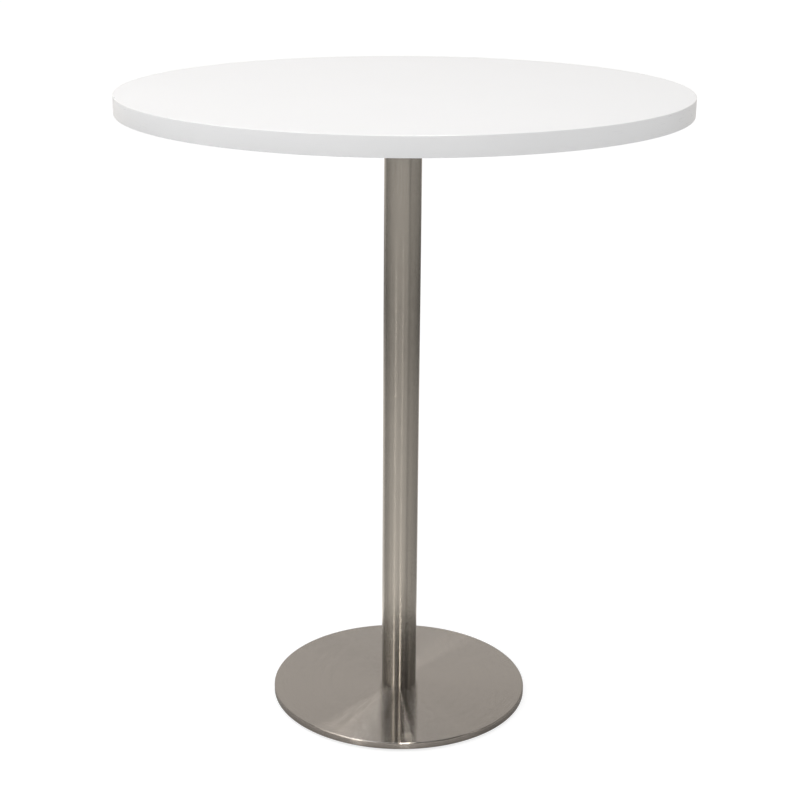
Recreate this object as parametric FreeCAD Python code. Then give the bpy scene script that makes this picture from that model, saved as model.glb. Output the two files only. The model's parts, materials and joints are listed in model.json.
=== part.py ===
"""A round pedestal pub table on a flat stainless base, as separate pieces in millimetres.

The origin is on the floor under the middle of the table, with +Z up.  The column's axis is
the Z axis.  The spider's four arms and the four levelling feet lie on the diagonals.
"""

import FreeCAD, Part
import math
import os

from FreeCAD import Vector

os.makedirs("parts", exist_ok=True)

# ---------------------------------------------------------------- driving dimensions

# Whole table
table_height = 1050.0
floor_gap = 4.0  # floor to the underside of the base's rim
diagonal = 45.0  # degrees from +X to the first arm and the first foot
corner_count = 4  # arms, and feet

# Table top
top_diameter = 900.0
core_thickness = 28.0
laminate_thickness = 0.8
edge_band_thickness = 2.0
edge_band_bevel = 0.9

# Column
tube_diameter = 60.3
tube_wall = 1.5
plug_clearance = 0.15  # radial, between the tube and what centres it

# Base
base_diameter = 440.0
base_plate_thickness = 10.0
cover_thickness = 1.0
cover_lip_bevel = 2.4  # outside, where the cover turns down
cover_hem_bevel = 1.2  # outside, where it turns in under the plate
cover_hem_width = 11.0
cover_fit = 0.15  # radial, between the cover and the plate's edge
boss_height = 32.0
boss_chamfer = 2.0
boss_cover_gap = 0.3  # radial, between the boss and the hole in the cover

# Screws that hold the boss to the plate
boss_screw_count = 3
boss_screw_diameter = 8.0
boss_screw_head_diameter = 16.0
boss_screw_length = 24.0
boss_screw_circle = 38.0
boss_screw_socket = 5.0  # across flats
boss_screw_socket_depth = 3.0
boss_screw_hole_gap = 0.4  # radial, in the plate

# Levelling feet
foot_inset = 38.0  # from the base's rim to the foot's axis
glide_diameter = 28.0
glide_height = 6.2
glide_floor = 2.0  # nylon under the stud's head
glide_recess_gap = 2.0  # radial, round the glide in the plate's underside
glide_seat_gap = 0.3  # between the raised glide and the plate
stud_diameter = 8.0
stud_head_diameter = 11.2
stud_head_height = 2.4
stud_end_gap = 0.3  # between the raised stud and the cover
stud_socket = 4.0  # across flats
stud_socket_depth = 3.2
key_hole_diameter = 6.0
swivel_clearance = 0.05  # round the stud, in the glide and in the plate
snap_overlap = 0.7  # radial, of the glide's lip over the stud's head

# Tie rod and what is on it
rod_diameter = 12.0
rod_bottom_gap = 4.0  # from the plate to the rod's lower end
rod_above_nut = 3.0
rod_chamfer = 1.0
rod_hole_gap = 0.5  # radial, in the spider and the washers
thread_clearance = 0.05  # radial, in nuts and tapped holes
nut_across_flats = 18.0
nut_height = 10.8
lock_nut_height = 6.0
tie_washer_diameter = 24.0
tie_washer_thickness = 2.5
lock_washer_diameter = 20.5
lock_washer_thickness = 2.5
lock_washer_split = 2.0
nut_recess_gap = 3.5  # radial, round the washer, room for a socket spanner
rod_top_gap = 1.2  # from the rod's upper end to the table top

# Spider
hub_floor = 10.0  # iron under the tie washer
hub_collar = 4.0  # how far the hub stands out past the tube
hub_collar_height = 6.0
hub_blend = 14.0  # radius in the corners between neighbouring arms
spigot_length = 22.0
spigot_chamfer = 2.0
arm_root_width = 58.0
arm_tip_width = 34.0
arm_web = 5.0
arm_rib = 4.5
arm_tip_depth = 9.0
arm_arch = 4.0  # how far the ribs' lower edge arches up in the middle of its run
arm_draft = 1.2  # how much narrower each flank is at the bottom
pocket_corner_rounding = 5.0
hub_wall_past_collar = 15.0  # iron between the hub's collar and the pockets
screw_pad_diameter = 19.0
screw_pad_height = 1.5

# Screws and inserts that hold the top
inner_screw_radius = 112.0
outer_screw_radius = 192.0
screw_diameter = 6.0
screw_length = 16.0
screw_head_diameter = 12.0
screw_head_height = 3.8
screw_socket = 4.0  # across flats
screw_socket_depth = 2.2
screw_hole_gap = 0.4  # radial, in the spider
insert_diameter = 10.0
insert_length = 12.0
insert_hole_spare = 2.0  # depth of the hole past the insert

# ---------------------------------------------------------------- levels and radii

top_radius = top_diameter / 2
core_radius = top_radius - edge_band_thickness
core_top = table_height - laminate_thickness
core_bottom = core_top - core_thickness
underside = core_bottom - laminate_thickness

base_radius = base_diameter / 2
plate_bottom = floor_gap + cover_thickness
plate_top = plate_bottom + base_plate_thickness
base_top = plate_top + cover_thickness
cover_inner_radius = base_radius - cover_thickness
plate_radius = cover_inner_radius - cover_fit

tube_radius = tube_diameter / 2
tube_bore_radius = tube_radius - tube_wall
plug_radius = tube_bore_radius - plug_clearance
boss_top = plate_top + boss_height

rod_radius = rod_diameter / 2
nut_stack = tie_washer_thickness + lock_washer_thickness + nut_height
hub_recess_depth = nut_stack + rod_above_nut + rod_top_gap
hub_depth = hub_floor + hub_recess_depth
tube_top = underside - hub_depth
tie_washer_bottom = tube_top + hub_floor
lock_washer_bottom = tie_washer_bottom + tie_washer_thickness
tie_nut_bottom = lock_washer_bottom + lock_washer_thickness
rod_top = tie_nut_bottom + nut_height + rod_above_nut

foot_circle_radius = base_radius - foot_inset
arm_underside = underside - arm_web
screw_seat = arm_underside - screw_pad_height
screw_radii = (inner_screw_radius, outer_screw_radius)

AXIS = Vector(0, 0, 1)
CENTRE = Vector(0, 0, 0)


# ---------------------------------------------------------------- shared shapes


def disc(radius, bottom, top):
    """A round slab on the Z axis."""
    return Part.makeCylinder(radius, top - bottom, Vector(0, 0, bottom))


def ring(outer, inner, bottom, top):
    """A round slab with a round hole."""
    return disc(outer, bottom, top).cut(disc(inner, bottom, top))


def turned(outline):
    """A turned piece, from the (radius, height) corners of half its section."""
    corners = [Vector(radius, 0, height) for radius, height in outline]
    face = Part.Face(Part.makePolygon(corners + corners[:1]))
    return face.revolve(CENTRE, AXIS, 360)


def block(lower, upper):
    """A solid with flat sides between two outlines that have the same number of corners."""
    outlines = [lower, upper]
    for step in range(len(lower)):
        ahead = (step + 1) % len(lower)
        outlines.append([lower[step], lower[ahead], upper[ahead], upper[step]])
    faces = [Part.Face(Part.makePolygon(outline + outline[:1])) for outline in outlines]
    solid = Part.Solid(Part.Shell(faces))
    if solid.Volume < 0:
        solid.reverse()
    return solid


def hexagon(across_flats, bottom, top):
    """An upright six-sided prism on the Z axis."""
    corner_radius = across_flats / math.sqrt(3)
    corners = []
    for step in range(6):
        angle = math.radians(60 * step)
        corners.append(Vector(corner_radius * math.cos(angle), corner_radius * math.sin(angle), bottom))
    face = Part.Face(Part.makePolygon(corners + corners[:1]))
    return face.extrude(Vector(0, 0, top - bottom))


def bevel_rim(shape, radius, height, bevel):
    """Bevel the circular edge that has this radius at this height."""
    rims = []
    for edge in shape.Edges:
        curve = edge.Curve
        if not isinstance(curve, Part.Circle):
            continue
        if abs(curve.Radius - radius) < 0.01 and abs(curve.Center.z - height) < 0.01:
            rims.append(edge)
    return shape.makeChamfer(bevel, rims)


def moved_out(shape, radius, angle):
    """A copy moved out along +X to a radius, then turned about the Z axis."""
    copy = shape.copy()
    copy.translate(Vector(radius, 0, 0))
    copy.rotate(CENTRE, AXIS, angle)
    return copy


def corner_angles():
    """The directions of the arms and of the feet, in degrees."""
    return [diagonal + step * 360 / corner_count for step in range(corner_count)]


def at_top_screws(shape):
    """Copies of a piece at every screw that holds the top."""
    copies = []
    for angle in corner_angles():
        for radius in screw_radii:
            copies.append(moved_out(shape, radius, angle))
    return copies


def at_boss_screws(shape):
    """Copies of a piece at every screw that holds the boss."""
    copies = []
    for step in range(boss_screw_count):
        copies.append(moved_out(shape, boss_screw_circle / 2, step * 360 / boss_screw_count))
    return copies


def hex_nut(height, bottom):
    """A hexagon nut on the Z axis."""
    top = bottom + height
    return hexagon(nut_across_flats, bottom, top).cut(disc(rod_radius + thread_clearance, bottom, top))


# ---------------------------------------------------------------- table top


def make_core():
    """The particle board core, drilled from below for the inserts."""
    hole = disc(insert_diameter / 2, core_bottom, underside + insert_length + insert_hole_spare)
    return disc(core_radius, core_bottom, core_top).cut(at_top_screws(hole))


def make_upper_laminate():
    """The laminate sheet that makes the table's surface."""
    return disc(core_radius, core_top, table_height)


def make_lower_laminate():
    """The balancing sheet on the underside, which the inserts pass through."""
    hole = disc(insert_diameter / 2, underside, core_bottom)
    return disc(core_radius, underside, core_bottom).cut(at_top_screws(hole))


def make_edge_band():
    """The band glued round the edge, with both outer corners eased."""
    band = ring(top_radius, core_radius, underside, table_height)
    band = bevel_rim(band, top_radius, table_height, edge_band_bevel)
    return bevel_rim(band, top_radius, underside, edge_band_bevel)


def make_inserts():
    """The threaded inserts, flush with the underside."""
    bore = screw_diameter / 2 + thread_clearance
    insert = ring(insert_diameter / 2, bore, underside, underside + insert_length)
    return Part.makeCompound(at_top_screws(insert))


def make_spider_screws():
    """The pan-head screws that pull the spider up to the top."""
    head_bottom = screw_seat - screw_head_height
    head = disc(screw_head_diameter / 2, head_bottom, screw_seat)
    shank = disc(screw_diameter / 2, screw_seat, screw_seat + screw_length)
    socket = hexagon(screw_socket, head_bottom, head_bottom + screw_socket_depth)
    return Part.makeCompound(at_top_screws(head.fuse(shank).cut(socket).removeSplitter()))


# ---------------------------------------------------------------- spider


def arm_form(start, half_root, half_tip, bottom, top, draft):
    """An arm's outline along +X as a solid: tapered flanks to a round tip, drawn in by draft
    from its top to its bottom, or the other way where draft is negative."""

    def outline(inward, height):
        return [
            Vector(start, half_root - inward, height),
            Vector(start, inward - half_root, height),
            Vector(outer_screw_radius, inward - half_tip, height),
            Vector(outer_screw_radius, half_tip - inward, height),
        ]

    at_bottom = max(draft, 0)
    at_top = max(-draft, 0)
    tip = Part.makeCone(
        half_tip - at_bottom, half_tip - at_top, top - bottom, Vector(outer_screw_radius, 0, bottom)
    )
    return block(outline(at_bottom, bottom), outline(at_top, top)).fuse(tip).removeSplitter()


def make_cross():
    """The outside of the four arms: drafted flanks, blended where the arms meet."""
    lowest = tube_top + hub_collar_height
    arm = arm_form(0, arm_root_width / 2, arm_tip_width / 2, lowest, underside, arm_draft)
    arms = [moved_out(arm, 0, angle) for angle in corner_angles()]
    cross = arms[0].fuse(arms[1:]).removeSplitter()
    corners = []
    for edge in cross.Edges:
        middle = edge.CenterOfMass
        if edge.BoundBox.ZLength > hub_collar_height and math.hypot(middle.x, middle.y) < arm_root_width:
            corners.append(edge)
    return cross.makeFillet(hub_blend, corners)


def make_arch():
    """What the arms stay within: slabs along the arms that get thinner towards the tips."""
    lowest = tube_top + hub_collar_height
    collar_radius = tube_radius + hub_collar
    reach = outer_screw_radius + arm_tip_width
    tip_level = underside - arm_tip_depth
    middle = Vector((collar_radius + reach) / 2, -collar_radius, (lowest + tip_level) / 2 + arm_arch)
    top_middle = Vector(0, -collar_radius, underside)
    top_end = Vector(reach, -collar_radius, underside)
    tip = Vector(reach, -collar_radius, tip_level)
    collar = Vector(collar_radius, -collar_radius, lowest)
    bottom_middle = Vector(0, -collar_radius, lowest)
    section = Part.Wire(
        [
            Part.makeLine(top_middle, top_end),
            Part.makeLine(top_end, tip),
            Part.Arc(tip, middle, collar).toShape(),
            Part.makeLine(collar, bottom_middle),
            Part.makeLine(bottom_middle, top_middle),
        ]
    )
    slab = Part.Face(section).extrude(Vector(0, 2 * collar_radius, 0))
    slabs = [moved_out(slab, 0, angle) for angle in corner_angles()]
    return slabs[0].fuse(slabs[1:])


def make_pocket():
    """The hollow between an arm's two ribs, narrower towards the web, along +X."""
    half_root = arm_root_width / 2
    half_tip = arm_tip_width / 2
    start = tube_radius + hub_collar + hub_wall_past_collar
    narrowing = (half_root - half_tip) * start / outer_screw_radius
    pocket = arm_form(
        start, half_root - narrowing - arm_rib, half_tip - arm_rib, tube_top, arm_underside, -arm_draft
    )
    root_corners = []
    for edge in pocket.Edges:
        if edge.BoundBox.ZLength > hub_collar_height and edge.CenterOfMass.x < inner_screw_radius:
            root_corners.append(edge)
    return pocket.makeFillet(pocket_corner_rounding, root_corners)


def make_spider():
    """The cast spider: four channel arms on a hub whose spigot goes into the tube."""
    collar_radius = tube_radius + hub_collar
    hub = turned(
        [
            (0, tube_top - spigot_length),
            (plug_radius - spigot_chamfer, tube_top - spigot_length),
            (plug_radius, tube_top - spigot_length + spigot_chamfer),
            (plug_radius, tube_top),
            (collar_radius, tube_top),
            (collar_radius, underside),
            (0, underside),
        ]
    )
    pocket = make_pocket()
    pockets = [moved_out(pocket, 0, angle) for angle in corner_angles()]
    pad = disc(screw_pad_diameter / 2, screw_seat, underside)
    arms = make_cross().common(make_arch()).cut(pockets)
    spider = arms.fuse([hub] + at_top_screws(pad))

    recess_radius = tie_washer_diameter / 2 + nut_recess_gap
    rod_hole = disc(rod_radius + rod_hole_gap, tube_top - spigot_length, underside)
    recess = disc(recess_radius, tie_washer_bottom, underside)
    screw_hole = disc(screw_diameter / 2 + screw_hole_gap, screw_seat, underside)
    return spider.cut([rod_hole, recess] + at_top_screws(screw_hole)).removeSplitter()


# ---------------------------------------------------------------- column and tie rod


def make_tube():
    """The column: one thin-walled tube from the base's cover to the spider's hub."""
    return ring(tube_radius, tube_bore_radius, base_top, tube_top)


def make_tie_rod():
    """The threaded rod, screwed into the boss and drawn up by the nut."""
    bottom = plate_top + rod_bottom_gap
    return turned(
        [
            (0, bottom),
            (rod_radius - rod_chamfer, bottom),
            (rod_radius, bottom + rod_chamfer),
            (rod_radius, rod_top - rod_chamfer),
            (rod_radius - rod_chamfer, rod_top),
            (0, rod_top),
        ]
    )


def make_tie_washer():
    """The flat washer at the bottom of the hub's recess."""
    top = tie_washer_bottom + tie_washer_thickness
    return ring(tie_washer_diameter / 2, rod_radius + rod_hole_gap, tie_washer_bottom, top)


def make_lock_washer():
    """The spring washer, split on one side."""
    outer = lock_washer_diameter / 2
    top = lock_washer_bottom + lock_washer_thickness
    washer = ring(outer, rod_radius + rod_hole_gap, lock_washer_bottom, top)
    split_corner = Vector(0, -lock_washer_split / 2, lock_washer_bottom)
    split = Part.makeBox(outer, lock_washer_split, lock_washer_thickness, split_corner)
    return washer.cut(split)


# ---------------------------------------------------------------- base


def make_boss():
    """The boss in the tube's foot, tapped for the rod and, from below, for its screws."""
    bore = rod_radius + thread_clearance
    boss = turned(
        [
            (bore, plate_top),
            (plug_radius, plate_top),
            (plug_radius, boss_top - boss_chamfer),
            (plug_radius - boss_chamfer, boss_top),
            (bore, boss_top),
        ]
    )
    screw_end = plate_bottom + boss_screw_length
    tapped = disc(boss_screw_diameter / 2 + thread_clearance, plate_top, screw_end)
    return boss.cut(at_boss_screws(tapped))


def make_boss_screws():
    """The countersunk screws, flush with the plate's underside."""
    shank = boss_screw_diameter / 2
    head = boss_screw_head_diameter / 2
    end = plate_bottom + boss_screw_length
    screw = turned(
        [
            (0, plate_bottom),
            (head, plate_bottom),
            (shank, plate_bottom + head - shank),
            (shank, end),
            (0, end),
        ]
    )
    socket = hexagon(boss_screw_socket, plate_bottom, plate_bottom + boss_screw_socket_depth)
    return Part.makeCompound(at_boss_screws(screw.cut(socket)))


def inner_bevel(bevel):
    """The bevel inside a bend of the cover, which keeps the sheet's thickness there."""
    return bevel - (2 - math.sqrt(2)) * cover_thickness


def make_base_plate():
    """The heavy plate, tapped and recessed for the feet and countersunk for the boss."""
    plate = disc(plate_radius, plate_bottom, plate_top)
    plate = bevel_rim(plate, plate_radius, plate_top, inner_bevel(cover_lip_bevel))
    plate = bevel_rim(plate, plate_radius, plate_bottom, inner_bevel(cover_hem_bevel))

    recess_radius = glide_diameter / 2 + glide_recess_gap
    recess_top = glide_height + glide_seat_gap
    tapped = disc(stud_diameter / 2 + swivel_clearance, plate_bottom, plate_top)
    foot_hole = tapped.fuse(disc(recess_radius, plate_bottom, recess_top))
    foot_holes = [moved_out(foot_hole, foot_circle_radius, angle) for angle in corner_angles()]

    head = boss_screw_head_diameter / 2
    hole = boss_screw_diameter / 2 + boss_screw_hole_gap
    countersunk = turned(
        [
            (0, plate_bottom),
            (head, plate_bottom),
            (hole, plate_bottom + head - hole),
            (hole, plate_top),
            (0, plate_top),
        ]
    )
    return plate.cut(foot_holes + at_boss_screws(countersunk))


def make_base_cover():
    """The spun stainless cover, turned down round the plate and in under its edge."""
    outer = disc(base_radius, floor_gap, base_top)
    outer = bevel_rim(outer, base_radius, base_top, cover_lip_bevel)
    outer = bevel_rim(outer, base_radius, floor_gap, cover_hem_bevel)
    inner = disc(cover_inner_radius, plate_bottom, plate_top)
    inner = bevel_rim(inner, cover_inner_radius, plate_top, inner_bevel(cover_lip_bevel))
    inner = bevel_rim(inner, cover_inner_radius, plate_bottom, inner_bevel(cover_hem_bevel))
    below = disc(base_radius - cover_hem_width, floor_gap, plate_bottom)
    column_hole = disc(plug_radius + boss_cover_gap, plate_top, base_top)
    return outer.cut([inner, below, column_hole])


# ---------------------------------------------------------------- levelling feet


def make_stud():
    """A levelling stud with its head at the bottom, on the Z axis."""
    shank = stud_diameter / 2
    head = stud_head_diameter / 2
    head_bottom = glide_floor
    head_top = head_bottom + stud_head_height
    end = plate_top - stud_end_gap
    stud = disc(head, head_bottom, head_top).fuse(disc(shank, head_top, end))
    return stud.cut(hexagon(stud_socket, head_bottom, head_bottom + stud_socket_depth))


def make_glide():
    """The nylon glide that the stud's head turns in, on the Z axis."""
    radius = glide_diameter / 2
    head = stud_head_diameter / 2
    head_bottom = glide_floor
    head_top = head_bottom + stud_head_height
    glide = disc(radius, 0, glide_height)
    key_hole = disc(key_hole_diameter / 2, 0, glide_floor)
    head_room = disc(
        head + swivel_clearance,
        head_bottom - swivel_clearance,
        head_top + swivel_clearance,
    )
    mouth = disc(head - snap_overlap, head_top, glide_height)
    return glide.cut([key_hole, head_room, mouth])


# ---------------------------------------------------------------- the set of pieces

pieces = {
    "top_core": make_core(),
    "upper_laminate": make_upper_laminate(),
    "lower_laminate": make_lower_laminate(),
    "edge_band": make_edge_band(),
    "thread_inserts": make_inserts(),
    "spider_screws": make_spider_screws(),
    "top_spider": make_spider(),
    "column_tube": make_tube(),
    "tie_rod": make_tie_rod(),
    "tie_washer": make_tie_washer(),
    "lock_washer": make_lock_washer(),
    "tie_nut": hex_nut(nut_height, tie_nut_bottom),
    "rod_lock_nut": hex_nut(lock_nut_height, boss_top),
    "column_boss": make_boss(),
    "boss_screws": make_boss_screws(),
    "base_plate": make_base_plate(),
    "base_cover": make_base_cover(),
}
for number, angle in enumerate(corner_angles(), start=1):
    pieces[f"foot_stud_{number}"] = moved_out(make_stud(), foot_circle_radius, angle)
    pieces[f"foot_glide_{number}"] = moved_out(make_glide(), foot_circle_radius, angle)

for node, shape in pieces.items():
    shape.exportStep(f"parts/{node}.step")
    print(f"{node}: {len(shape.Solids)} solid(s), {shape.Volume / 1000:.2f} cm3, valid {shape.isValid()}")
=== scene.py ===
"""The looks of the pub table: its finishes, its fine shapes, the studio and the camera.

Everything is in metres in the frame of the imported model.  The camera stands on the -Y side.
"""

import json
import math
from itertools import product

import bmesh
import bpy
from mathutils import Matrix, Vector


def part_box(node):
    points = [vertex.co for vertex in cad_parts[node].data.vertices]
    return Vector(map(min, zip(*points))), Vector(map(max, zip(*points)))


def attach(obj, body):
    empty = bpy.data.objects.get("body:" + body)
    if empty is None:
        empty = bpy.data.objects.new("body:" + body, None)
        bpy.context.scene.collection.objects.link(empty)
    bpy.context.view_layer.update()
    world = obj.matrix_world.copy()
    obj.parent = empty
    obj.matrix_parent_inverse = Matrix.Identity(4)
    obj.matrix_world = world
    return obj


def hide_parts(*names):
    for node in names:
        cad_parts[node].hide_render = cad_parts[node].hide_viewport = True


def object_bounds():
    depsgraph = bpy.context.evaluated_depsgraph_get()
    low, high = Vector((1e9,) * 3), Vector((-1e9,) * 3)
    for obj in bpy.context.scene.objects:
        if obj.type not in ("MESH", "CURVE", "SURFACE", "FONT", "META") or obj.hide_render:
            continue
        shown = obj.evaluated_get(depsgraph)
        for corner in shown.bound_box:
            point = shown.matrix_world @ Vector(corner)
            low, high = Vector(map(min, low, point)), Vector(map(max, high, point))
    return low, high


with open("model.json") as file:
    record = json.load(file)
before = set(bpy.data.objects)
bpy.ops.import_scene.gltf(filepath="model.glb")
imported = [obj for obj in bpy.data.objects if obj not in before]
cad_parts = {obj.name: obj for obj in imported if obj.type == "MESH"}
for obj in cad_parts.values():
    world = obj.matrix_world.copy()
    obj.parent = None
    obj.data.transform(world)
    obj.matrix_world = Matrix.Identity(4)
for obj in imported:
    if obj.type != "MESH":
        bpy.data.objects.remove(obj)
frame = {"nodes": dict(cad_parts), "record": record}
cad_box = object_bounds()

MM = 0.001
TURN = 2 * math.pi


# ---------------------------------------------------------------- nodes


class Nodes:
    """The nodes of one material, or of the world."""

    def __init__(self, tree):
        self.tree = tree

    def feed(self, socket, value):
        """Links a socket to another node's output, or gives it a constant."""
        if isinstance(value, bpy.types.NodeSocket):
            self.tree.links.new(value, socket)
        elif socket.type == "RGBA":
            socket.default_value = (*value, 1)
        else:
            socket.default_value = value

    def node(self, kind, inputs=None, **settings):
        """A new node.  Its inputs are given by name or by number."""
        made = self.tree.nodes.new("ShaderNode" + kind)
        for name, setting in settings.items():
            setattr(made, name, setting)
        for key, value in (inputs or {}).items():
            self.feed(made.inputs[key], value)
        return made

    def math(self, operation, first, second=0.0):
        return self.node("Math", {0: first, 1: second}, operation=operation).outputs[0]

    def vector(self, x, y, z):
        return self.node("CombineXYZ", {0: x, 1: y, 2: z}).outputs[0]

    def split(self, vector):
        """The three coordinates of a vector."""
        return self.node("SeparateXYZ", {0: vector}).outputs

    def vector_math(self, operation, first, second=None):
        made = self.node("VectorMath", {0: first}, operation=operation)
        if second is not None:
            self.feed(made.inputs["Scale" if operation == "SCALE" else 1], second)
        return made.outputs["Value" if operation == "LENGTH" else "Vector"]

    def noise(self, place, scale, detail=2.0, roughness=0.5):
        inputs = {"Vector": place, "Scale": scale, "Detail": detail, "Roughness": roughness}
        return self.node("TexNoise", inputs).outputs["Fac"]

    def remap(self, value, low, high, to_low=0.0, to_high=1.0, interpolation="LINEAR"):
        """Takes the range low to high to another one, and holds the value at its ends."""
        inputs = {
            "Value": value,
            "From Min": low,
            "From Max": high,
            "To Min": to_low,
            "To Max": to_high,
        }
        return self.node("MapRange", inputs, interpolation_type=interpolation).outputs["Result"]

    def mix(self, amount, first, second, mode="MIX"):
        """The colour between two, by amount."""
        made = self.node("Mix", data_type="RGBA", blend_type=mode)
        self.feed(made.inputs["Factor"], amount)
        for name, colour in (("A", first), ("B", second)):
            socket = next(s for s in made.inputs if s.name == name and s.type == "RGBA")
            self.feed(socket, colour)
        return next(s for s in made.outputs if s.type == "RGBA")

    def ramp(self, value, stops):
        """The colour at value, eased between stops of (place from 0 to 1, colour)."""
        made = self.node("ValToRGB", {"Fac": value})
        made.color_ramp.interpolation = "EASE"
        elements = made.color_ramp.elements
        elements.remove(elements[1])
        elements[0].position = stops[0][0]
        elements[0].color = (*stops[0][1], 1)
        for place, colour in stops[1:]:
            elements.new(place).color = (*colour, 1)
        return made.outputs["Color"]

    def choose(self, share, first, second):
        """The first shader where share is 0, and the second where it is 1."""
        return self.node("MixShader", {0: share, 1: first, 2: second}).outputs[0]

    def add(self, first, second):
        """Both shaders together."""
        return self.node("AddShader", {0: first, 1: second}).outputs[0]


# ---------------------------------------------------------------- finishes

# Noise hardly leaves this range
NOISE_LOW, NOISE_HIGH = 0.3, 0.7


class Finish(Nodes):
    """A material with one Principled shader."""

    def __init__(self, name, colour, roughness, metallic=0.0):
        self.material = bpy.data.materials.new(name)
        self.material.use_nodes = True
        super().__init__(self.material.node_tree)
        self.shader = self.tree.nodes["Principled BSDF"]
        self.colour = colour
        self.give("Base Color", colour)
        self.give("Roughness", roughness)
        self.give("Metallic", metallic)

    def give(self, name, value):
        self.feed(self.shader.inputs[name], value)

    def place(self):
        """The point on the piece, in metres."""
        return self.node("TexCoord").outputs["Object"]

    def polar(self):
        """(cosine, sine, radius, height) of the point round the table's axis."""
        x, y, z = self.split(self.place())
        squares = self.math("ADD", self.math("MULTIPLY", x, x), self.math("MULTIPLY", y, y))
        radius = self.math("MAXIMUM", self.math("SQRT", squares), 1e-5)
        return self.math("DIVIDE", x, radius), self.math("DIVIDE", y, radius), radius, z

    def streaks(self, cosine, sine, across, round_axis, per_metre, detail):
        """Noise drawn out round the table's axis."""
        place = self.vector(
            self.math("MULTIPLY", cosine, round_axis),
            self.math("MULTIPLY", sine, round_axis),
            self.math("MULTIPLY", across, per_metre),
        )
        return self.noise(place, 1.0, detail)

    def vary_colour(self, value, darkest, lightest, low=NOISE_LOW, high=NOISE_HIGH):
        """Makes the colour darker or lighter as value goes from low to high."""
        dark = tuple(part * darkest for part in self.colour)
        light = tuple(part * lightest for part in self.colour)
        self.give("Base Color", self.mix(self.remap(value, low, high), dark, light))

    def vary_roughness(self, value, least, most, low=NOISE_LOW, high=NOISE_HIGH):
        self.give("Roughness", self.remap(value, low, high, least, most))

    def bump(self, height, depth, strength, under=None):
        """Relief of some metres' depth, on top of the normal under it."""
        inputs = {"Strength": strength, "Distance": depth, "Height": height}
        if under is not None:
            inputs["Normal"] = under
        normal = self.node("Bump", inputs).outputs["Normal"]
        self.give("Normal", normal)
        return normal

    def eased(self, radius):
        """The surface's normal with every edge worn round to this radius."""
        return self.node("Bevel", {"Radius": radius}, samples=6).outputs["Normal"]


# Streaks round the axis: their scale that way, how many to the metre across it, and detail
FINE_STREAKS = (1.6, 2600.0, 2.0)
BROAD_STREAKS = (0.8, 240.0, 3.0)
GROOVES = (6.0, 50000.0, 0.0)
SCRAPE_MARKS = (14.0, 1400.0, 3.0)

# How widely the grooves' walls turn with the noise.  A wall steeper than the steepest one that
# is kept gives no glint of its own.
WALL_SPREAD = 4.2
STEEPEST_WALL = 1.05


def brushed_stainless(name, colour, roughness, groove_lean, groove_tail):
    """Satin stainless: fine grooves that run round the axis, on the tube and on the base.

    The walls lean by about groove_lean, and groove_tail makes a few of them lean a lot.
    """
    finish = Finish(name, colour, roughness, metallic=1.0)
    cosine, sine, radius, height = finish.polar()
    across = finish.math("ADD", radius, height)
    fine = finish.streaks(cosine, sine, across, *FINE_STREAKS)
    broad = finish.streaks(cosine, sine, across, *BROAD_STREAKS)
    clouds = finish.noise(finish.place(), 9.0, detail=3.0)
    brushing = finish.math("MULTIPLY", finish.math("ADD", fine, broad), 0.4)
    tone = finish.math("ADD", brushing, finish.math("MULTIPLY", clouds, 0.2))
    finish.vary_colour(tone, darkest=0.965, lightest=1.035)
    dullness = finish.math("MULTIPLY", fine, broad)
    least, most = roughness * 0.95, roughness * 1.05
    finish.vary_roughness(dullness, least, most, low=0.1, high=0.4)

    grooves = finish.streaks(cosine, sine, across, *GROOVES)
    angle = finish.math("MULTIPLY", finish.math("SUBTRACT", grooves, 0.5), WALL_SPREAD)
    slope = finish.math("TANGENT", angle)
    tail = finish.math("MULTIPLY", finish.math("MULTIPLY", slope, slope), groove_tail)
    lean = finish.math("MULTIPLY", slope, finish.math("ADD", tail, 1.0))
    lean = finish.math("MULTIPLY", lean, groove_lean)
    kept = finish.math("LESS_THAN", finish.math("ABSOLUTE", lean), STEEPEST_WALL)
    lean = finish.math("MULTIPLY", lean, kept)
    normal = finish.node("NewGeometry").outputs["Normal"]
    along = finish.vector(finish.math("MULTIPLY", sine, -1.0), cosine, 0.0)
    sideways = finish.vector_math("CROSS_PRODUCT", normal, along)
    wall = finish.vector_math("ADD", normal, finish.vector_math("SCALE", sideways, lean))
    finish.give("Normal", finish.vector_math("NORMALIZE", wall))

    finish.give("Anisotropic", 1.0)
    finish.give("Anisotropic Rotation", 0.25)
    tangent = finish.node("Tangent", direction_type="RADIAL", axis="Z")
    finish.give("Tangent", tangent.outputs[0])
    return finish.material


def white_laminate():
    """Melamine board face: matt white with a very shallow pressed texture."""
    finish = Finish("white_laminate", (0.862, 0.867, 0.877), 0.42)
    place = finish.place()
    pressed = finish.noise(place, 900.0, detail=3.0, roughness=0.6)
    finish.vary_colour(finish.noise(place, 5.0, detail=4.0), darkest=0.995, lightest=1.005)
    finish.vary_roughness(pressed, least=0.38, most=0.48)
    finish.bump(pressed, depth=0.02 * MM, strength=0.25)
    return finish.material


def white_edging():
    """Solid plastic edging, a touch smoother than the board."""
    finish = Finish("white_edging", (0.89, 0.892, 0.896), 0.32)
    cosine, sine, _, height = finish.polar()
    scraped = finish.streaks(cosine, sine, height, *SCRAPE_MARKS)
    finish.vary_colour(finish.noise(finish.place(), 7.0, detail=3.0), darkest=0.99, lightest=1.008)
    finish.vary_roughness(scraped, least=0.27, most=0.38)
    finish.bump(scraped, depth=0.01 * MM, strength=0.3)
    return finish.material


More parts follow.
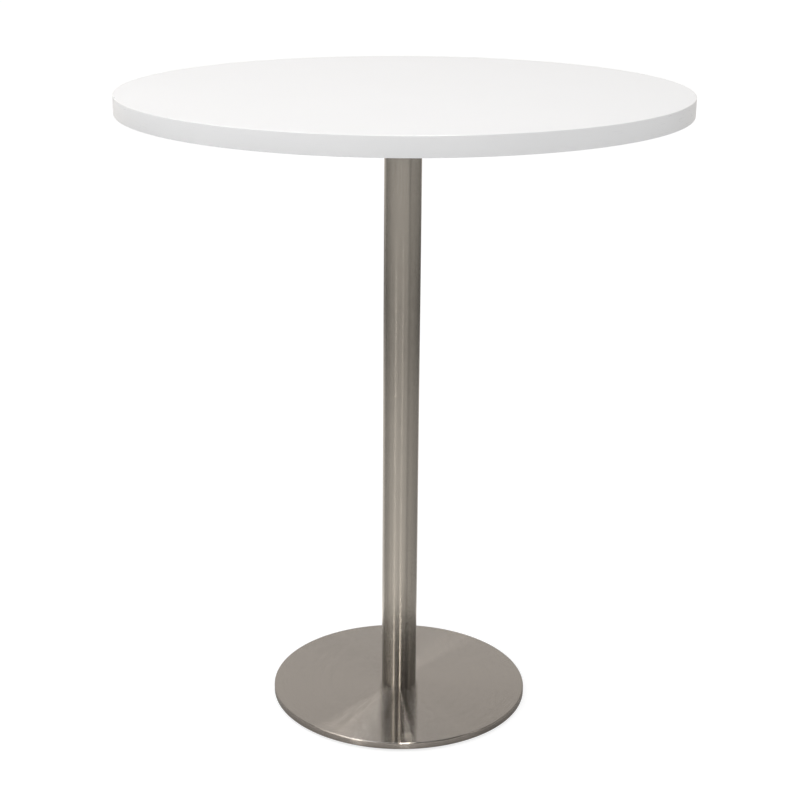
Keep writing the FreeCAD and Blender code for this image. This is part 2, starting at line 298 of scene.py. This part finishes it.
def particle_board():
    """Pressed wood chips, with fine dust between them."""
    finish = Finish("particle_board", (0.42, 0.29, 0.17), 0.85)
    place = finish.place()
    chips = finish.node("TexVoronoi", {"Vector": place, "Scale": 420.0}).outputs
    tone = finish.node("SeparateColor", {"Color": chips["Color"]}).outputs[0]
    dust = finish.math("MULTIPLY", finish.noise(place, 1300.0, detail=4.0), 0.3)
    mixed = finish.math("ADD", finish.math("MULTIPLY", tone, 0.7), dust)
    finish.vary_colour(mixed, darkest=0.6, lightest=1.35, low=0.1, high=0.9)
    finish.bump(chips["Distance"], depth=0.4 * MM, strength=0.5)
    return finish.material


def black_casting():
    """Grey iron casting under a black powder coat."""
    finish = Finish("black_casting", (0.022, 0.022, 0.023), 0.5)
    place = finish.place()
    skin = finish.noise(place, 260.0, detail=4.0, roughness=0.6)
    peel = finish.noise(place, 1100.0, detail=2.0)
    finish.vary_colour(finish.noise(place, 30.0, detail=4.0), darkest=0.75, lightest=1.35)
    finish.vary_roughness(peel, least=0.36, most=0.6)
    sand_cast = finish.bump(skin, depth=0.6 * MM, strength=0.7, under=finish.eased(0.9 * MM))
    finish.bump(peel, depth=0.18 * MM, strength=0.9, under=sand_cast)
    return finish.material


def painted_plate():
    """Flat black paint on the base's steel plate."""
    finish = Finish("painted_plate", (0.028, 0.028, 0.028), 0.55)
    place = finish.place()
    rolled = finish.noise(place, 700.0, detail=3.0)
    finish.vary_colour(finish.noise(place, 22.0, detail=5.0), darkest=0.75, lightest=1.35)
    finish.vary_roughness(rolled, least=0.45, most=0.68)
    finish.bump(rolled, depth=0.06 * MM, strength=0.5, under=finish.eased(0.5 * MM))
    return finish.material


def turned_steel():
    """Bright turned bar, with the tool's feed marks round it."""
    finish = Finish("turned_steel", (0.48, 0.47, 0.455), 0.3, metallic=1.0)
    _, _, radius, height = finish.polar()
    across = finish.math("ADD", radius, height)
    feed_marks = finish.math("SINE", finish.math("MULTIPLY", across, 20000.0))
    stain = finish.noise(finish.place(), 120.0, detail=4.0)
    finish.vary_colour(stain, darkest=0.85, lightest=1.1)
    finish.vary_roughness(stain, least=0.24, most=0.4)
    finish.bump(feed_marks, depth=0.02 * MM, strength=0.4, under=finish.eased(0.4 * MM))
    return finish.material


def plated(name, colour, scale):
    """Small turned or pressed steel parts with a thin plated or oiled skin."""
    finish = Finish(name, colour, 0.34, metallic=1.0)
    place = finish.place()
    mottle = finish.noise(place, scale, detail=4.0, roughness=0.6)
    finish.vary_colour(mottle, darkest=0.8, lightest=1.15)
    finish.vary_roughness(mottle, least=0.26, most=0.46)
    finish.bump(finish.noise(place, scale * 6, detail=2.0), depth=0.02 * MM, strength=0.3)
    return finish.material


def black_nylon():
    """Moulded nylon with a fine spark-eroded grain."""
    finish = Finish("black_nylon", (0.02, 0.02, 0.021), 0.48)
    place = finish.place()
    grain = finish.noise(place, 2600.0, detail=2.0)
    finish.vary_colour(finish.noise(place, 60.0, detail=3.0), darkest=0.85, lightest=1.3)
    finish.vary_roughness(grain, least=0.42, most=0.58)
    finish.bump(grain, depth=0.03 * MM, strength=0.5)
    return finish.material


finishes = {
    "white_laminate": white_laminate(),
    "white_edging": white_edging(),
    "particle_board": particle_board(),
    # The base's steel colour is set darker than the tube's, as painted shade
    "brushed_stainless": brushed_stainless(
        "brushed_base", (0.288, 0.272, 0.255), roughness=0.1, groove_lean=0.34, groove_tail=0.34
    ),
    "black_casting": black_casting(),
    "painted_plate": painted_plate(),
    "turned_steel": turned_steel(),
    "zinc_plate": plated("zinc_plate", (0.56, 0.57, 0.585), scale=300.0),
    "spring_steel": plated("spring_steel", (0.2, 0.19, 0.175), scale=260.0),
    "dark_screw_steel": plated("dark_screw_steel", (0.045, 0.045, 0.048), scale=420.0),
    "black_nylon": black_nylon(),
}

# The tube and the base are the same stainless in two colours: the tube's is set lighter and the
# base's darker, as painted light and shade
tube_steel = brushed_stainless(
    "brushed_tube", (0.354, 0.339, 0.31), roughness=0.14, groove_lean=0.12, groove_tail=0.6
)

slot_of = {part["node"]: part["material_slot"] for part in frame["record"]["subparts"]}
for name, item in frame["nodes"].items():
    item.data.materials.clear()
    item.data.materials.append(finishes[slot_of[name]])


# ---------------------------------------------------------------- tools for shapes

# Edges sharper than this stay crisp
CREASE = math.radians(35)


def rounded(corners, steps=6):
    """A closed outline of (radius, height) points.  A corner with a third value is an arc of it."""
    outline = []
    for index, corner in enumerate(corners):
        here = Vector(corner[:2])
        arc = corner[2] if len(corner) > 2 else 0.0
        if not arc:
            outline.append(here)
            continue
        back = (Vector(corners[index - 1][:2]) - here).normalized()
        ahead = (Vector(corners[(index + 1) % len(corners)][:2]) - here).normalized()
        half = back.angle(ahead) / 2
        middle = here + (back + ahead).normalized() * arc / math.sin(half)
        first = (here + back * arc / math.tan(half) - middle).normalized()
        last = (here + ahead * arc / math.tan(half) - middle).normalized()
        for step in range(steps + 1):
            outline.append(middle + first.slerp(last, step / steps).normalized() * arc)
    return outline


def swept(outline_at, segments):
    """A closed mesh round the Z axis.  outline_at(angle) gives its (radius, height) points."""
    mesh = bmesh.new()
    rings = []
    for segment in range(segments):
        angle = TURN * segment / segments
        across, along = math.cos(angle), math.sin(angle)
        rings.append([mesh.verts.new((r * across, r * along, z)) for r, z in outline_at(angle)])
    count = len(rings[0])
    for segment in range(segments):
        near = rings[segment]
        far = rings[(segment + 1) % segments]
        for index in range(count):
            after = (index + 1) % count
            mesh.faces.new((near[index], far[index], far[after], near[after]))
    bmesh.ops.remove_doubles(mesh, verts=mesh.verts, dist=0.01 * MM)
    bmesh.ops.recalc_face_normals(mesh, faces=mesh.faces)
    return mesh


def turned(outline, segments):
    """A solid of revolution about the Z axis, from a closed outline of (radius, height) points."""
    return swept(lambda angle: outline, segments)


def carried_out(mesh, radius, degrees):
    """Moves a mesh out along +X, and then round the Z axis."""
    turn = Matrix.Rotation(math.radians(degrees), 4, "Z")
    bmesh.ops.transform(mesh, matrix=turn @ Matrix.Translation((radius, 0, 0)), verts=mesh.verts)
    return mesh


def add_piece(name, mesh, node, body="table"):
    """Turns a bmesh into the piece that stands for a node."""
    mesh.normal_update()
    for face in mesh.faces:
        face.smooth = True
    for edge in mesh.edges:
        if len(edge.link_faces) == 2:
            edge.smooth = edge.calc_face_angle() < CREASE
    data = bpy.data.meshes.new(name)
    mesh.to_mesh(data)
    mesh.free()
    piece = bpy.data.objects.new(name, data)
    bpy.context.scene.collection.objects.link(piece)
    piece.data.materials.append(finishes[slot_of[node]])
    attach(piece, body)
    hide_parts(node)
    return piece


def extent(node):
    """(outer radius, bottom, top) of a node.  The radius is right for a round one on the axis."""
    low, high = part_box(node)
    return high.x, low.z, high.z


# ---------------------------------------------------------------- threads, hexagons and sockets

# Metric threads: the radius over the crests, the pitch and the depth
M6 = (3.0 * MM, 1.0 * MM, 0.55 * MM)
M8 = (4.0 * MM, 1.25 * MM, 0.7 * MM)
M12 = (6.0 * MM, 1.75 * MM, 1.0 * MM)
POINTS_PER_PITCH = 6
FLANK_SLOPE = 1.25


def thread(size, low, high, angle):
    """The points of a right-hand thread where it passes this angle, faded in and out."""
    radius, pitch, depth = size
    root = radius - depth
    steps = round((high - low) / pitch * POINTS_PER_PITCH)
    points = [(root, low)]
    for step in range(1, steps):
        height = low + (high - low) * step / steps
        place = (height / pitch - angle / TURN) % 1.0
        flank = min(abs(2 * place - 1) * FLANK_SLOPE, 1.0)
        fade = min(1.0, step / POINTS_PER_PITCH, (steps - step) / POINTS_PER_PITCH)
        points.append((root + depth * (1 - flank) * fade, height))
    points.append((root, high))
    return points


def hexagon(across_flats, angle):
    """How far a hexagon's side is from its middle, in the direction of angle."""
    return across_flats / 2 / math.cos(angle % (TURN / 6) - TURN / 12)


def key_socket(across_flats, bottom, depth, angle):
    """The points of a hexagon socket that opens downwards, from the axis out to its rim."""
    drill_point = 0.3 * MM
    rim = 0.2 * MM
    side = hexagon(across_flats, angle)
    floor = bottom + depth
    return [(0, floor + drill_point), (side, floor), (side, bottom + rim), (side + rim, bottom)]


# ---------------------------------------------------------------- top, column and base


def edge_band():
    """The edging round the top, with its scraped corners."""
    outer, bottom, top = extent("edge_band")
    inner = outer - 2.0 * MM
    scraped = 1.1 * MM
    corners = [(inner, bottom), (outer, bottom, scraped), (outer, top, scraped), (inner, top)]
    return turned(rounded(corners), 360)


def column_tube():
    outer, bottom, top = extent("column_tube")
    inner = outer - 1.5 * MM
    filed = 0.3 * MM
    corners = [(inner, bottom), (outer, bottom, filed), (outer, top, filed), (inner, top)]
    return turned(rounded(corners, 3), 144)


def base_cover():
    """The base's spun cover, rounded over at the lip and turned in under the plate."""
    outer, bottom, top = extent("base_cover")
    hole = extent("column_boss")[0] + 0.3 * MM
    sheet = 1.0 * MM
    lip = 2.6 * MM
    hem = 1.5 * MM
    hem_inner = outer - 11.0 * MM
    cut_edge = 0.3 * MM
    corners = [
        (hole, top),
        (outer, top, lip),
        (outer, bottom, hem),
        (hem_inner, bottom, cut_edge),
        (hem_inner, bottom + sheet, cut_edge),
        (outer - sheet, bottom + sheet, hem - sheet),
        (outer - sheet, top - sheet, lip - sheet),
        (hole, top - sheet),
    ]
    return turned(rounded(corners, 8), 300)


add_piece("edge_band_scraped", edge_band(), "edge_band")
tube = add_piece("column_tube_satin", column_tube(), "column_tube")
tube.data.materials[0] = tube_steel
add_piece("base_cover_spun", base_cover(), "base_cover")


# ---------------------------------------------------------------- screws, rod, nuts and washer

DIAGONALS = (45, 135, 225, 315)
TOP_SCREW_CIRCLES = (0.112, 0.192)
BOSS_SCREW_CIRCLE = 0.019
BOSS_SCREW_DIRECTIONS = (0, 120, 240)


def top_screw():
    """An M6 screw that holds the top, head down: pan head with a hexagon socket."""
    _, bottom, top = extent("spider_screws")
    head_radius = 6.0 * MM
    seat = bottom + 3.8 * MM
    dome = 2.4 * MM
    tip = 0.6 * MM
    tip_radius = 1.9 * MM
    key = 4.0 * MM
    key_depth = 2.2 * MM
    # The socket's own rim takes the place of the first corner
    head = rounded(
        [
            (2.6 * MM, bottom),
            (head_radius, bottom, dome),
            (head_radius, seat, 0.2 * MM),
            (M6[0], seat),
        ]
    )[1:]

    def outline(angle):
        socket = key_socket(key, bottom, key_depth, angle)
        shank = thread(M6, seat + tip, top - tip, angle)
        return [*socket, *head, *shank, (tip_radius, top), (0, top)]

    return swept(outline, 36)


def boss_screw():
    """An M8 countersunk screw that holds the boss to the base plate, head down."""
    _, bottom, top = extent("boss_screws")
    head_radius = 7.9 * MM
    rim = bottom + 0.3 * MM
    neck = bottom + 4.2 * MM
    plain_end = bottom + 10.0 * MM
    tip = 0.7 * MM
    tip_radius = 2.6 * MM
    key = 5.0 * MM
    key_depth = 3.0 * MM
    head = [(head_radius, bottom), (head_radius, rim), (M8[0], neck), (M8[0], plain_end)]

    def outline(angle):
        socket = key_socket(key, bottom, key_depth, angle)
        shank = thread(M8, plain_end + 0.5 * MM, top - tip, angle)
        return [*socket, *head, *shank, (tip_radius, top), (0, top)]

    return swept(outline, 48)


def tie_rod():
    """An M12 rod, threaded at both ends."""
    _, bottom, top = extent("tie_rod")
    end = 1.0 * MM
    end_radius = 4.2 * MM
    run_out = 1.0 * MM
    low_thread = bottom + 43 * MM
    high_thread = top - 36 * MM

    def outline(angle):
        return [
            (0, bottom),
            (end_radius, bottom),
            *thread(M12, bottom + end, low_thread, angle),
            (M12[0], low_thread + run_out),
            (M12[0], high_thread - run_out),
            *thread(M12, high_thread, top - end, angle),
            (end_radius, top),
            (0, top),
        ]

    return swept(outline, 24)


def nut(node):
    """An M12 hexagon nut with both faces turned off at the corners."""
    _, bottom, top = extent(node)
    bore = M12[0] + 0.05 * MM
    countersink = 0.6 * MM
    across_flats = 18.0 * MM
    face = 8.6 * MM
    chamfer = math.radians(30)

    def outline(angle):
        side = hexagon(across_flats, angle)
        fall = (side - face) * math.tan(chamfer)
        return [
            (bore, bottom + countersink),
            (bore + countersink, bottom),
            (face, bottom),
            (side, bottom + fall),
            (side, top - fall),
            (face, top),
            (bore + countersink, top),
            (bore, top - countersink),
        ]

    return swept(outline, 72)


def tie_washer():
    """The flat washer, with stamped edges."""
    _, bottom, top = extent("tie_washer")
    bore = 6.5 * MM
    outer = 12.0 * MM
    sharp = 0.2 * MM
    corners = [
        (bore, bottom, sharp),
        (outer, bottom, 0.5 * MM),
        (outer, top, sharp),
        (bore, top, 0.3 * MM),
    ]
    return turned(rounded(corners, 3), 64)


top_screw_places = product(DIAGONALS, TOP_SCREW_CIRCLES)
for number, (degrees, radius) in enumerate(top_screw_places, start=1):
    screw = carried_out(top_screw(), radius, degrees)
    add_piece(f"top_screw_{number}", screw, "spider_screws")

for number, degrees in enumerate(BOSS_SCREW_DIRECTIONS, start=1):
    screw = carried_out(boss_screw(), BOSS_SCREW_CIRCLE, degrees)
    add_piece(f"boss_screw_{number}", screw, "boss_screws")

add_piece("tie_rod_cut_thread", tie_rod(), "tie_rod")
add_piece("tie_nut_chamfered", nut("tie_nut"), "tie_nut")
add_piece("rod_lock_nut_chamfered", nut("rod_lock_nut"), "rod_lock_nut")
add_piece("tie_washer_stamped", tie_washer(), "tie_washer")


# ---------------------------------------------------------------- levelling feet

FOOT_CIRCLE = 0.182

# The stud's head turns in the glide's pocket: its faces, and the pocket's, above the floor
HEAD_LOW, HEAD_HIGH = 2.0 * MM, 4.4 * MM
POCKET_LOW, POCKET_HIGH = 1.95 * MM, 4.45 * MM


def glide():
    """A moulded glide, hollow for the stud's head and open below for the key."""
    key_hole = 3.0 * MM
    outer = 14.0 * MM
    top = 6.2 * MM
    neck = 4.9 * MM
    pocket = 5.65 * MM
    mould_edge = 0.3 * MM
    corners = [
        (key_hole, 0, mould_edge),
        (outer, 0, 1.6 * MM),
        (outer, top, 0.8 * MM),
        (neck, top, mould_edge),
        (neck, POCKET_HIGH),
        (pocket, POCKET_HIGH),
        (pocket, POCKET_LOW),
        (key_hole, POCKET_LOW),
    ]
    return turned(rounded(corners), 72)


def stud():
    """An M8 adjusting stud with a flat round head below, and a hexagon socket in it."""
    head_radius = 5.6 * MM
    head_edge = 0.3 * MM
    top = 14.7 * MM
    tip = 0.6 * MM
    tip_radius = 2.7 * MM
    key = 4.0 * MM
    key_depth = 3.2 * MM
    # The socket's own rim takes the place of the first corner
    head = rounded(
        [
            (3.0 * MM, HEAD_LOW),
            (head_radius, HEAD_LOW, head_edge),
            (head_radius, HEAD_HIGH, head_edge),
            (M8[0] - M8[2], HEAD_HIGH),
        ],
        3,
    )[1:]

    def outline(angle):
        socket = key_socket(key, HEAD_LOW, key_depth, angle)
        shank = thread(M8, HEAD_HIGH + 0.5 * MM, top - tip, angle)
        return [*socket, *head, *shank, (tip_radius, top), (0, top)]

    return swept(outline, 48)


for number, degrees in enumerate(DIAGONALS, start=1):
    moulded = carried_out(glide(), FOOT_CIRCLE, degrees)
    add_piece(f"glide_moulded_{number}", moulded, f"foot_glide_{number}", f"glide_{number}")
    threaded = carried_out(stud(), FOOT_CIRCLE, degrees)
    add_piece(f"stud_threaded_{number}", threaded, f"foot_stud_{number}", f"stud_{number}")


# ---------------------------------------------------------------- studio

WHITE = (1.0, 1.0, 1.0)
BLACK = (0.0, 0.0, 0.0)

# The tint of all that the metal mirrors
WARM = (1.0, 0.945, 0.886)

# How bright the room looks in metal, by direction round the table: (degrees, grey).  Nought is
# the camera's side, and the right-hand side is +90.
ROOM = (
    (-180, 1.0),
    (-140, 1.0),
    (-112, 0.5),
    (-95, 0.62),
    (-60, 0.85),
    (-30, 0.95),
    (32, 0.9),
    (46, 0.62),
    (62, 0.7),
    (100, 0.6),
    (135, 0.42),
    (165, 0.9),
    (180, 1.0),
)

# Painted light and shade on the floor as metal sees it, by distance from the table's axis: (metres,
# grey). The dark ring at the base's rim is a painted shadow, the bright rings just outside it are
# painted light, and the dark ring from about 3 to 4.4 metres is painted shade
FLOOR_REACH = 8.0
FLOOR_PAINTED_LIGHT = (
    (0.0, 1.0),
    (0.215, 0.45),
    (0.247, 0.6),
    (0.268, 1.8),
    (0.3, 1.5),
    (0.38, 1.05),
    (0.8, 0.95),
    (1.6, 0.95),
    (2.9, 0.12),
    (4.4, 0.12),
    (5.8, 1.05),
    (FLOOR_REACH, 1.0),
)


def surroundings(nodes, place):
    """The room's colour in metal, in the direction of a place from the table's axis."""
    x, y, _ = nodes.split(place)
    angle = nodes.math("ARCTAN2", x, nodes.math("MULTIPLY", y, -1.0))
    stops = [((degrees + 180) / 360, [grey * part for part in WARM]) for degrees, grey in ROOM]
    return nodes.ramp(nodes.remap(angle, -math.pi, math.pi), stops)


def light_world():
    """White to the eye, a plain fill for the light, and a room with dark corners for metal."""
    world = bpy.data.worlds.new("studio")
    bpy.context.scene.world = world
    world.use_nodes = True
    world.node_tree.nodes.clear()
    world.cycles.sampling_method = "NONE"
    nodes = Nodes(world.node_tree)
    ray = nodes.node("LightPath").outputs
    direction = nodes.node("TexCoord").outputs["Generated"]
    _, y, z = nodes.split(direction)
    # The room is dim above the camera
    camera_side = nodes.remap(y, -0.3, 0.35, 1.0, 0.0, "SMOOTHSTEP")
    overhead = nodes.remap(z, 0.27, 0.46, 0.0, 0.74, "SMOOTHSTEP")
    dimness = nodes.math("MULTIPLY", camera_side, overhead)
    room = nodes.mix(dimness, surroundings(nodes, direction), BLACK)
    fill = nodes.node("Background", {"Color": WHITE, "Strength": 0.7}).outputs[0]
    mirrored = nodes.node("Background", {"Color": room}).outputs[0]
    backdrop = nodes.node("Background", {"Color": WHITE}).outputs[0]
    light = nodes.choose(ray["Is Glossy Ray"], fill, mirrored)
    looked_at = nodes.math("MAXIMUM", ray["Is Camera Ray"], ray["Is Transmission Ray"])
    nodes.node("OutputWorld", {"Surface": nodes.choose(looked_at, light, backdrop)})


def paper(nodes, colour, glow, lit_share):
    """White paper: part of its white is its own, and the rest takes the shadows."""
    shade = nodes.mix(1.0, colour, (lit_share, lit_share, lit_share), "MULTIPLY")
    lit = nodes.node("BsdfDiffuse", {"Color": shade}).outputs[0]
    own = nodes.node("Emission", {"Color": colour, "Strength": glow}).outputs[0]
    return nodes.add(lit, own)


def lay_floor():
    """The studio's floor.  Metal sees it with painted rings of shadow and light round the table."""
    bpy.ops.mesh.primitive_plane_add(size=80)
    floor = bpy.context.object
    floor.name = "studio_floor"
    material = bpy.data.materials.new("studio_paper")
    material.use_nodes = True
    material.node_tree.nodes.clear()
    nodes = Nodes(material.node_tree)
    ray = nodes.node("LightPath").outputs
    place = nodes.node("TexCoord").outputs["Object"]
    reach = nodes.remap(nodes.vector_math("LENGTH", place), 0.0, FLOOR_REACH)
    # Painted light and shade for metal: the rings by distance, times the room's brightness by
    # direction, glow in the floor's colour
    stops = [(metres / FLOOR_REACH, (grey, grey, grey)) for metres, grey in FLOOR_PAINTED_LIGHT]
    tone = nodes.mix(1.0, surroundings(nodes, place), nodes.ramp(reach, stops), "MULTIPLY")
    seen = paper(nodes, WHITE, glow=0.78, lit_share=0.36)
    sheen = nodes.node("BsdfGlossy", {"Color": (0.08, 0.08, 0.08), "Roughness": 0.3}).outputs[0]
    mirrored = nodes.add(paper(nodes, tone, glow=0.4, lit_share=0.7), sheen)
    plain = nodes.node("BsdfDiffuse", {"Color": (0.85, 0.85, 0.85)}).outputs[0]
    upper = nodes.choose(ray["Is Camera Ray"], plain, seen)
    upper = nodes.choose(ray["Is Glossy Ray"], upper, mirrored)
    # From below, the floor lets the table's underside be seen
    below = nodes.node("NewGeometry").outputs["Backfacing"]
    clear = nodes.node("BsdfTransparent").outputs[0]
    nodes.node("OutputMaterial", {"Surface": nodes.choose(below, upper, clear)})
    floor.data.materials.append(material)


def add_lamp(name, azimuth, elevation, distance, width, height, watts, aim):
    """A soft box.  Azimuth 0 is the camera's side, and grows to the right."""
    lamp = bpy.data.lights.new(name, "AREA")
    lamp.shape = "RECTANGLE"
    lamp.size = width
    lamp.size_y = height
    lamp.energy = watts
    item = bpy.data.objects.new(name, lamp)
    bpy.context.scene.collection.objects.link(item)
    turn = math.radians(azimuth)
    rise = math.radians(elevation)
    away = Vector(
        (math.sin(turn) * math.cos(rise), -math.cos(turn) * math.cos(rise), math.sin(rise))
    )
    item.location = aim + away * distance
    item.rotation_euler = away.to_track_quat("Z", "Y").to_euler()
    item.visible_camera = False
    return item


# Lamps that only show in the metal: azimuth, elevation, distance, width, height and watts
MIRRORED_LAMPS = {
    "strip_left": (-39, 41, 8.0, 1.1, 3.4, 130.0),
    "strip_right": (6, 41, 8.0, 1.0, 3.4, 120.0),
    "strip_far_right": (80, 41, 8.0, 0.7, 3.0, 17.0),
    "high_left": (-85, 62, 3.0, 1.9, 0.8, 28.0),
    "high_right": (13, 71, 3.0, 0.42, 0.8, 42.0),
}

light_world()
lay_floor()
top_centre = Vector((0, 0, cad_box[1].z))
foot = Vector((0, 0, 0))
add_lamp("key", -45, 64, 4.0, 2.4, 2.4, 65.0, top_centre)
for name, values in MIRRORED_LAMPS.items():
    soft_box = add_lamp(name, *values, foot)
    soft_box.visible_diffuse = False
    soft_box.data.color = WARM


# ---------------------------------------------------------------- camera

# The picture's width, the focal length and the point where the lens axis meets the picture,
# in pixels
IMAGE = 810
FOCAL_PIXELS = 1619.64
AXIS = (374.46, 438.28)

# The sensor's width in millimetres, and the camera's place and its turns in radians
SENSOR = 36.0
EYE = Vector((0.0, -2.5632, 1.3903))
PITCH = 0.34447
YAW = -0.01728
ROLL = -0.00273


def set_camera():
    ahead = Vector(
        (math.sin(YAW) * math.cos(PITCH), math.cos(YAW) * math.cos(PITCH), -math.sin(PITCH))
    )
    level = Vector((math.cos(YAW), -math.sin(YAW), 0))
    below = ahead.cross(level)
    right = level * math.cos(ROLL) + below * math.sin(ROLL)
    down = below * math.cos(ROLL) - level * math.sin(ROLL)
    lens = bpy.data.cameras.new("camera")
    lens.sensor_fit = "HORIZONTAL"
    lens.sensor_width = SENSOR
    lens.lens = SENSOR * FOCAL_PIXELS / IMAGE
    lens.shift_x = (IMAGE / 2 - AXIS[0]) / IMAGE
    lens.shift_y = (AXIS[1] - IMAGE / 2) / IMAGE
    lens.clip_start = 0.05
    lens.clip_end = 200.0
    camera = bpy.data.objects.new("camera", lens)
    bpy.context.scene.collection.objects.link(camera)
    turned_to = Matrix((right, -down, -ahead)).transposed().to_4x4()
    camera.matrix_world = Matrix.Translation(EYE) @ turned_to
    bpy.context.scene.camera = camera


set_camera()
bpy.context.scene.view_settings.view_transform = "Standard"
